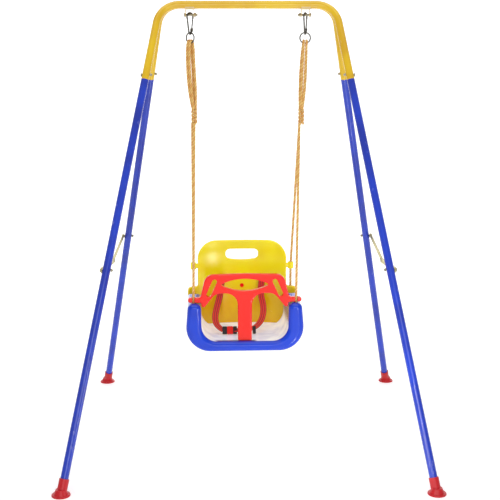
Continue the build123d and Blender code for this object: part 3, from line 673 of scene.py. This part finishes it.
def rope_recipe(name: str, radius: float, pitch: float, step: float,
                material: bpy.types.Material) -> GeometryRecipe:
    """Make the tree that lays a three-strand rope along a chain of points.

    Args:
        name: the tree's name.
        radius: over the strands.
        pitch: length in which a strand goes round once.
        step: between the rope's rings.
        material: the rope's finish.

    Returns:
        The tree.
    """
    tree = GeometryRecipe(name, {
        "Radius": ("NodeSocketFloat", radius),
        "Pitch": ("NodeSocketFloat", pitch),
        "Step": ("NodeSocketFloat", step),
        "Groove": ("NodeSocketFloat", GROOVE_DEPTH),
        "Finish": ("NodeSocketMaterial", material),
    })
    host = Wire(tree, tree.entry.outputs["Geometry"])
    route = tree.step("GeometryNodeMeshToCurve", {0: host})
    feeds = {"Curve": route, "Length": tree.given("Step")}
    route = tree.step("GeometryNodeResampleCurve", feeds, mode="LENGTH")
    along = tree.step("GeometryNodeSplineParameter", {}, "Length")
    feeds = {"Geometry": route, "Name": "along", "Value": along}
    route = tree.step("GeometryNodeStoreNamedAttribute", feeds, data_type="FLOAT", domain="POINT")
    lay = along * FULL_TURN / tree.given("Pitch")
    route = tree.step("GeometryNodeSetCurveTilt", {"Curve": route, "Tilt": lay})
    feeds = {"Resolution": RING_CORNERS, "Radius": 1.0}
    ring = tree.step("GeometryNodeCurvePrimitiveCircle", feeds)
    turn = tree.step("GeometryNodeInputIndex", {}) / float(RING_CORNERS)
    feeds = {"Geometry": ring, "Name": "around", "Value": turn}
    ring = tree.step("GeometryNodeStoreNamedAttribute", feeds, data_type="FLOAT", domain="POINT")
    crown = (turn * (ROPE_STRANDS * math.pi)).wave().size()
    reach = tree.given("Radius") * (1.0 - tree.given("Groove") * (1.0 - crown))
    spot = tree.step("GeometryNodeInputPosition", {})
    spot = tree.step("ShaderNodeVectorMath", {0: spot, "Scale": reach}, operation="SCALE")
    ring = tree.step("GeometryNodeSetPosition", {"Geometry": ring, "Position": spot})
    feeds = {"Curve": route, "Profile Curve": ring, "Fill Caps": True}
    tree.end(tree.step("GeometryNodeCurveToMesh", feeds), tree.given("Finish"))
    return tree


# ---------------------------------------------------------------- ropes
@dataclass(frozen=True)
class SeatFrame:
    """The seat's own directions: it hangs a little to one side and turned."""

    shift: float = -17.0
    turn: float = 2.4

    def point(self, across: float, back: float, height: float) -> Vector:
        """A place in the seat's directions, in millimetres."""
        turned = Matrix.Rotation(math.radians(self.turn), 3, "Z") @ Vector((across, back, 0))
        return turned + Vector((self.shift, 0, height))


@dataclass
class Ropes:
    """The ropes from the rings to the seat, with their gathering and stopper knots."""

    finish: bpy.types.Material
    seat: SeatFrame = SeatFrame()
    radius: float = 5.0
    pitch: float = 34.0
    ring_gap: float = 1.4
    knot_x: float = 200.0
    knot_z: float = 1235.0
    knot_half_height: float = 33.0
    knot_turns: float = 1.3
    rope_sunk: float = 8.0
    plait_strands: int = 3
    plait_steps: int = 60
    plait_width: float = 7.4
    plait_depth: float = 4.6
    hanger_x: float = 212.0
    ring_z: float = 1522.35
    ring_radius: float = 19.25
    ring_wire: float = 2.5
    loop_lift: float = 1.0
    loop_spread: float = 1.3
    bend_radii: float = 12.0
    hole_x: float = 193.0
    front_hole_y: float = -118.0
    rear_hole_y: float = 116.2
    arm_top: float = 547.5
    eyelet_z: float = 642.0
    front_stopper_z: float = 416.0
    rear_stopper_z: float = 374.5
    stopper_steps: int = 72
    stopper_size: float = 2.1
    thin_radius: float = 0.86
    thin_pitch: float = 0.8

    STRAND_HEIGHTS = (195.0, 75.0, 28.0)
    RING_TURN = {"left": -40.0, "right": 0.0}
    EXITS = {
        ("left", "front"): (0.0, -5.2),
        ("left", "rear"): (-8.0, 5.2),
        ("right", "front"): (-7.0, -5.2),
        ("right", "rear"): (-6.0, 5.2),
    }
    STRANDS = {
        ("left", "front"): [
            ((-13.5, -1.0), (-5.0, -1.0), (7.0, -2.0)),
            ((6.5, 8.0), (12.0, 7.5), (13.0, 6.0)),
        ],
        ("left", "rear"): [
            ((-4.5, -6.5), (4.0, -7.0), (11.0, -7.0)),
            ((13.5, -0.5), (20.0, 0.0), (17.0, 0.0)),
        ],
        ("right", "front"): [
            ((-8.5, -5.0), (-13.0, -5.0), (-13.0, -4.0)),
            ((-15.0, 4.5), (-19.0, 4.5), (-17.0, 3.0)),
        ],
        ("right", "rear"): [
            ((2.0, -5.5), (-2.5, -5.5), (-9.0, -4.0)),
            ((5.5, 5.0), (0.0, 5.0), (-8.0, 3.0)),
        ],
    }

    def knot_point(self, side: str, across: float, back: float, rise: float) -> Vector:
        """A place measured from the middle of a gathering knot."""
        return Vector((SIDES[side] * self.knot_x + across, back, self.knot_z + rise))

    def drop_route(self, side: str, end: str) -> list[Vector]:
        """Route of a rope from its knot to its stopper below the seat.

        Args:
            side: left or right.
            end: front or rear.

        Returns:
            The route's control points, in millimetres.
        """
        rise = self.rope_sunk - self.knot_half_height
        start = self.knot_point(side, *self.EXITS[side, end], rise)
        back = self.front_hole_y if end == "front" else self.rear_hole_y
        edge = self.arm_top if end == "front" else self.eyelet_z
        foot = self.front_stopper_z if end == "front" else self.rear_stopper_z
        across = SIDES[side] * self.hole_x
        corner = self.seat.point(across, back, edge)
        near = self.bend_radii * self.radius
        above = corner + (start - corner).normalized() * near
        below = self.seat.point(across, back, edge - near)
        bottom = self.seat.point(across, back, foot)
        return [start, above, corner, below, bottom]

    def loop_route(self, side: str, end: str) -> list[Vector]:
        """Route of a loop from its knot, over the ring's lower bar and back.

        Args:
            side: left or right.
            end: front or rear.

        Returns:
            The route's control points, in millimetres.
        """
        turn = math.radians(self.RING_TURN[side])
        along = Vector((math.cos(turn), math.sin(turn), 0))
        clear = self.ring_wire + self.radius + 0.3
        beside = Vector((-math.sin(turn), math.cos(turn), 0)) * clear * self.loop_spread
        offset = ENDS[end] * (self.radius + 0.4)
        bar = self.ring_z - math.sqrt(self.ring_radius ** 2 - offset ** 2)
        top = bar + clear + self.loop_lift
        over = Vector((SIDES[side] * self.hanger_x, 0, top)) + along * offset
        down, up = self.STRANDS[side, end]
        middle = Vector((SIDES[side] * self.hanger_x, 0, self.knot_z))
        rising = [middle + Vector((*spot, h)) for spot, h in zip(down, self.STRAND_HEIGHTS)]
        falling = [middle + Vector((*spot, h)) for spot, h in zip(up, self.STRAND_HEIGHTS)]
        return [*reversed(rising), over - beside, over + beside, *falling]

    def lay(self, name: str, route: list[Vector], node: str, far_end: str,
            recipe: GeometryRecipe) -> None:
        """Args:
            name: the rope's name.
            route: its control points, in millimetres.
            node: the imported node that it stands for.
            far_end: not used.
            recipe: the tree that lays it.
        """
        line = smooth_line(name, [point * MM for point in route])
        rope = recipe.run(chain(name, line), name)
        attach(rope, "swing")
        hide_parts(node)
        2 * self.radius * MM
        log.info("%s: %.3f m", name, line_length(line))

    def gathering_knot(self, side: str, recipe: GeometryRecipe) -> None:
        """Plait strands over the place where the loops and the ropes meet.

        Args:
            side: left or right.
            recipe: the tree that lays a strand.
        """
        points: list[Vector] = []
        links: list[tuple[int, int]] = []
        steps = self.plait_steps
        hand = SIDES[side]
        reach = self.knot_half_height - self.radius
        for strand in range(self.plait_strands):
            first = len(points)
            lead = FULL_TURN * strand / self.plait_strands
            for index in range(steps + 1):
                share = index / steps
                angle = self.knot_turns * FULL_TURN * share + lead
                across = self.plait_width * math.sin(angle) * hand
                back = self.plait_depth * math.sin(2 * angle)
                lift = reach * (1 - 2 * share)
                points.append(self.knot_point(side, across, back, lift) * MM)
            links += [(first + index, first + index + 1) for index in range(steps)]
        name = f"{side}_gathering_knot"
        knot = recipe.run(place(name, mesh_of(name, points, links, [])), name)
        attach(knot, "swing")
        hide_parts(f"{side}_knot")
        log.info("%s: %d strands", name, self.plait_strands)

    def stopper_knots(self, recipe: GeometryRecipe) -> None:
        """Tie an overhand knot below each hole of the seat, as one piece.

        Args:
            recipe: the tree that lays a knot's rope.
        """
        points: list[Vector] = []
        links: list[tuple[int, int]] = []
        for side in SIDES.values():
            for back, height in (
                (self.front_hole_y, self.front_stopper_z),
                (self.rear_hole_y, self.rear_stopper_z),
            ):
                centre = self.seat.point(side * self.hole_x, back, height)
                first = len(points)
                count = self.stopper_steps
                for index in range(count):
                    t = FULL_TURN * index / count
                    bow = Vector((
                        math.sin(t) + 2 * math.sin(2 * t),
                        math.cos(t) - 2 * math.cos(2 * t),
                        -1.5 * math.sin(3 * t),
                    ))
                    points.append((centre + bow * self.stopper_size) * MM)
                    links.append((first + index, first + (index + 1) % count))
        host = place("stopper_knots", mesh_of("stopper_knots", points, links, []))
        knots = recipe.run(host, "stopper_knots")
        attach(knots, "swing")
        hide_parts("rope_stoppers")
        log.info("stopper_knots: %d points", len(points))

    def build(self) -> None:
        """Make every rope and knot."""
        rope = rope_recipe("laid_rope", self.radius * MM, self.pitch * MM,
                           self.ring_gap * MM, self.finish)
        thin = rope_recipe("knotted_rope", self.radius * self.thin_radius * MM,
                           self.pitch * self.thin_pitch * MM, self.ring_gap * MM, self.finish)
        for side in SIDES:
            for end in ENDS:
                self.lay(f"{side}_{end}_drop", self.drop_route(side, end),
                         f"{side}_{end}_rope", "knot", rope)
                self.lay(f"{side}_{end}_bight", self.loop_route(side, end),
                         f"{side}_{end}_loop", "knot", rope)
            self.gathering_knot(side, thin)
        self.stopper_knots(thin)


# ---------------------------------------------------------------- harness
@dataclass
class Harness:
    """The two webbing straps of the lap harness."""

    finish: bpy.types.Material
    width: float = 25.0
    thickness: float = 1.6
    rim_steps: int = 4
    face_spans: int = 8
    seat: SeatFrame = SeatFrame()

    ROUTES = {
        "left": [
            (-80, 157.3, 600), (-80, 118, 598), (-86, 106, 530), (-101, 70, 486),
            (-112, 22, 452), (-102, -22, 428), (-78, -38, 418.5),
        ],
        "right": [
            (80, 157.3, 600), (80, 118, 598), (72, 106, 530), (84, 74, 484),
            (76, 22, 447), (48, -20, 424), (12, -36, 419), (-38, -38, 418.5),
        ],
    }

    def line(self, side: str) -> list[Vector]:
        """Middle line of a strap."""
        points = [self.seat.point(*spot) * MM for spot in self.ROUTES[side]]
        return smooth_line(f"{side}_strap_line", points)

    def section(self) -> list[tuple[float, float]]:
        """Outline of the webbing: two rounded edges and two flat faces.

        Returns:
            Points round the outline, across and through, in millimetres.
        """
        flat = self.width / 2 - self.thickness / 2
        rim = self.thickness / 2
        angles = [math.pi * step / self.rim_steps for step in range(self.rim_steps + 1)]
        right = [(flat + rim * math.sin(a), -rim * math.cos(a)) for a in angles]
        left = [(-flat - rim * math.sin(a), rim * math.cos(a)) for a in angles]
        spans = self.face_spans
        top = [(flat - 2 * flat * step / spans, rim) for step in range(1, spans)]
        under = [(-flat + 2 * flat * step / spans, -rim) for step in range(1, spans)]
        return [*right, *top, *left, *under]

    def strap(self, side: str) -> None:
        """Sweep the webbing along its line, its face turning no more than it has to.

        Args:
            side: left or right.
        """
        line = self.line(side)
        section = self.section()
        count = len(section)
        heading = (line[1] - line[0]).normalized()
        wide = Vector((1, 0, 0)) - heading * heading.x
        points, faces, grid = [], [], []
        travelled = 0.0
        for index, point in enumerate(line):
            ahead = line[min(index + 1, len(line) - 1)] - line[max(index - 1, 0)]
            turn = heading.rotation_difference(ahead.normalized())
            heading = ahead.normalized()
            wide = (turn @ wide).normalized()
            face = heading.cross(wide).normalized()
            travelled += (point - line[index - 1]).length if index else 0.0
            for across, through in section:
                points.append(point + wide * across * MM + face * through * MM)
                grid.append((across / self.width + 0.5, travelled / (self.width * MM)))
        for row in range(len(line) - 1):
            for k in range(count):
                a, b = row * count + k, row * count + (k + 1) % count
                faces.append((a, a + count, b + count, b))
        faces.append(tuple(range(count)))
        faces.append(tuple(reversed(range(len(points) - count, len(points)))))
        name = f"{side}_webbing"
        mesh = mesh_of(name, points, [], faces)
        weave = mesh.uv_layers.new(name="weave")
        for loop in mesh.loops:
            weave.data[loop.index].uv = grid[loop.vertex_index]
        mesh.shade_smooth()
        mesh.materials.append(self.finish)
        piece = place(name, mesh)
        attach(piece, "swing")
        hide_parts(f"{side}_strap")
        log.info("%s: %.3f m", name, travelled)

    def build(self) -> None:
        """Make both straps."""
        for side in SIDES:
            self.strap(side)


# ---------------------------------------------------------------- frame and seat
class Paint(Enum):
    """Which finish each of the record's material slots takes."""

    YELLOW_TUBE = "yellow_tube"
    BLUE_TUBE = "blue_tube"
    RED_FOOT = "red_foot"
    ZINC = "zinc"
    BRACKET = "bracket_paint"
    BRACE = "brace_zinc"
    HOOK = "hook_steel"
    BLUE_SEAT = "blue_plastic"
    YELLOW_BACK = "yellow_plastic"
    RED_GUARD = "red_plastic"
    BLACK_BUCKLE = "black_plastic"


FINISHES = {
    Paint.YELLOW_TUBE: PowderCoat("yellow powder coat", paint(232, 192, 0), paint(216, 168, 0)),
    Paint.BLUE_TUBE: PowderCoat("blue powder coat", paint(8, 56, 196), paint(6, 40, 160)),
    Paint.RED_FOOT: MouldedPlastic(
        "red foot moulding", paint(196, 12, 26), paint(168, 6, 18), roughness=0.32, pebble=0.3),
    Paint.ZINC: PlatedSteel("zinc plate", paint(172, 164, 140), paint(140, 132, 112)),
    Paint.BRACKET: PowderCoat(
        "cream enamel", paint(232, 205, 140), paint(206, 176, 106), roughness=0.3),
    Paint.BRACE: PlatedSteel(
        "yellow zinc plate", paint(202, 192, 136), paint(176, 162, 100), roughness=0.34,
        lines=(1.0, 0.06, 1.0)),
    Paint.HOOK: PlatedSteel(
        "polished steel", paint(112, 110, 106), paint(88, 86, 80), roughness=0.2),
    Paint.BLUE_SEAT: SeatPlastic(
        "blue seat moulding", paint(2, 60, 204), paint(2, 46, 178), roughness=0.07, pebble=0.05),
    Paint.YELLOW_BACK: BackPlastic(
        "yellow back moulding", paint(254, 238, 0), paint(250, 218, 0), roughness=0.16, pebble=0.08),
    Paint.RED_GUARD: MouldedPlastic(
        "red guard moulding", paint(246, 22, 0), paint(230, 12, 0), roughness=0.12, pebble=0.06),
    Paint.BLACK_BUCKLE: MouldedPlastic(
        "black buckle moulding", paint(26, 22, 24), paint(40, 34, 34), roughness=0.3, pebble=0.2),
}


@dataclass
class PackedParts:
    """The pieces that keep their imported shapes."""

    def build(self) -> None:
        """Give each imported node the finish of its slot."""
        slots = {row["node"]: row["material_slot"] for row in frame["record"]["subparts"]}
        made = {choice.value: FINISHES[choice].build() for choice in Paint}
        for name, piece in frame["nodes"].items():
            finish = made.get(slots[name])
            if finish is None:
                continue
            for slot in piece.material_slots:
                slot.material = finish
            log.info("%s: %s", name, finish.name)


# ---------------------------------------------------------------- studio
@dataclass
class Studio:
    """Pale floor and backdrop in one sweep, soft lights and the camera."""

    floor_reach: float = 14.0
    wall_distance: float = 7.0
    wall_height: float = 7.0
    cove_radius: float = 3.0
    cove_steps: int = 24
    paper_glow: float = 0.24
    room_light: float = 0.5
    lens: float = 72.0
    sensor: float = 36.0
    sight: float = 100.0
    camera_spot: tuple[float, float, float] = (-0.0299, -3.7706, 1.4437)
    camera_dip: float = 10.78
    camera_turn: float = -0.583

    def floor(self) -> None:
        """Sweep the floor up into the backdrop."""
        profile = [(-self.floor_reach, 0.0), (self.wall_distance - self.cove_radius, 0.0)]
        for step in range(1, self.cove_steps + 1):
            angle = math.pi / 2 * step / self.cove_steps
            profile.append((
                self.wall_distance - self.cove_radius + self.cove_radius * math.sin(angle),
                self.cove_radius * (1 - math.cos(angle)),
            ))
        profile.append((self.wall_distance, self.wall_height))
        edges = (-self.floor_reach, self.floor_reach)
        points = [Vector((x, y, z)) for y, z in profile for x in edges]
        faces = [(2 * i, 2 * i + 1, 2 * i + 3, 2 * i + 2) for i in range(len(profile) - 1)]
        mesh = mesh_of("studio_sweep", points, [], faces)
        mesh.shade_smooth()
        surface = Surface("studio paper")
        cloud = surface.noise(0.8, 2.0)
        surface.set(Base_Color=surface.mix(cloud, (0.93, 0.93, 0.93), (0.95, 0.95, 0.95)))
        surface.set(Roughness=0.7 + cloud * 0.05)
        surface.set(Emission_Color=WHITE, Emission_Strength=self.paper_glow)
        mesh.materials.append(surface.material)
        place("studio_sweep", mesh)
        log.info("studio_sweep: %.1f m deep", self.floor_reach + self.wall_distance)

    def light(self, name: str, spot: tuple, target: tuple, size: tuple, power: float) -> None:
        """Hang one soft box.

        Args:
            name: its name.
            spot: where it hangs.
            target: what it points at.
            size: its width and height.
            power: in watts.
        """
        data = bpy.data.lights.new(name, "AREA")
        data.shape = "RECTANGLE"
        data.size, data.size_y = size
        data.energy = power
        box = place(name, data)
        box.location = spot
        aim = Vector(target) - Vector(spot)
        box.rotation_euler = aim.to_track_quat("-Z", "Y").to_euler()

    def camera(self) -> None:
        """Set up the camera at the front, a little above the beam's middle and looking down."""
        data = bpy.data.cameras.new("camera")
        data.sensor_width = self.sensor
        data.lens = self.lens
        data.clip_end = self.sight
        view = place("camera", data)
        view.location = self.camera_spot
        dip = math.radians(90 - self.camera_dip)
        view.rotation_euler = (dip, 0.0, math.radians(self.camera_turn))
        bpy.context.scene.camera = view

    def build(self) -> None:
        """Make the sweep, the lights and the camera."""
        self.floor()
        self.camera()
        self.light("overhead", (0.0, -0.6, 4.6), (0, 0, 0.4), (4.5, 4.5), 76)
        self.light("front", (0.4, -5.2, 1.7), (0, 0, 0.5), (3.0, 2.0), 44)
        self.light("low_strip", (0.4, -0.92, 0.27), (-0.08, 0.0, 0.55), (0.035, 0.46), 2.0)
        self.light("backdrop", (0.0, 2.6, 4.2), (0, 6.5, 1.6), (6.0, 1.5), 160)
        world = bpy.data.worlds.new("studio")
        world.use_nodes = True
        backdrop = world.node_tree.nodes["Background"]
        backdrop.inputs["Color"].default_value = colour(WHITE)
        backdrop.inputs["Strength"].default_value = self.room_light
        bpy.context.scene.world = world
        bpy.context.scene.view_settings.view_transform = "Standard"


def main() -> None:
    """Build the looks in order."""
    logging.basicConfig(level=logging.INFO, format="%(name)s: %(message)s")
    rope = RopeFibre("laid rope", paint(238, 198, 116), paint(188, 128, 52), paint(222, 146, 58))
    webbing = WovenWebbing("red webbing", paint(232, 30, 16), paint(132, 12, 6))
    Studio().build()
    PackedParts().build()
    Ropes(rope.build()).build()
    Harness(webbing.build()).build()


if __name__ == "__main__":
    main()
